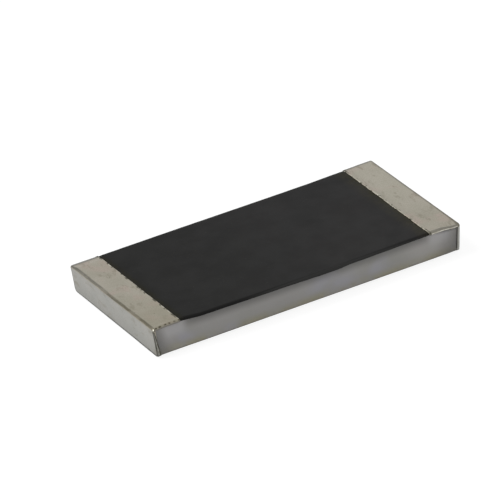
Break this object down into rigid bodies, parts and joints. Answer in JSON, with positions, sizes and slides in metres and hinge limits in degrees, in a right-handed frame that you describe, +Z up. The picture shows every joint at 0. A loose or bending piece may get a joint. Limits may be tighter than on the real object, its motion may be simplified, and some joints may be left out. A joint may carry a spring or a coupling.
{
  "type": "chip resistor",
  "caption": "Flat surface-mount chip resistor: pale ceramic block, black printed coat on top, and a matte tin-plated terminal wrapped round each end.",
  "frame": {"origin": "on the board surface, under the middle of the chip", "axes": "+X along the chip from the left terminal to the right one, +Y across it, +Z up from the board through the black coat"},
  "size_m": [0.0064, 0.0032, 0.0006],
  "materials": {
    "alumina": "fired alumina, matte, slightly translucent",
    "black_overcoat": "screen-printed black resin, satin",
    "glass_overglaze": "fired glass, hidden under the coat",
    "resistor_cermet": "fired ruthenium-oxide cermet film",
    "silver_conductor": "fired silver conductor, matte",
    "edge_conductor": "conductor film round the end",
    "nickel": "electroplated nickel, satin",
    "matte_tin": "electroplated matte tin, finely mottled"
  },
  "bodies": {
    "root": {"ceramic_substrate": "alumina", "protective_coat": "black_overcoat", "glass_coat": "glass_overglaze", "resistive_film": "resistor_cermet", "top_electrode_left": "silver_conductor", "top_electrode_right": "silver_conductor", "bottom_electrode_left": "silver_conductor", "bottom_electrode_right": "silver_conductor", "edge_film_left": "edge_conductor", "edge_film_right": "edge_conductor", "nickel_barrier_left": "nickel", "nickel_barrier_right": "nickel", "tin_plating_left": "matte_tin", "tin_plating_right": "matte_tin"}
  },
  "joints": []
}
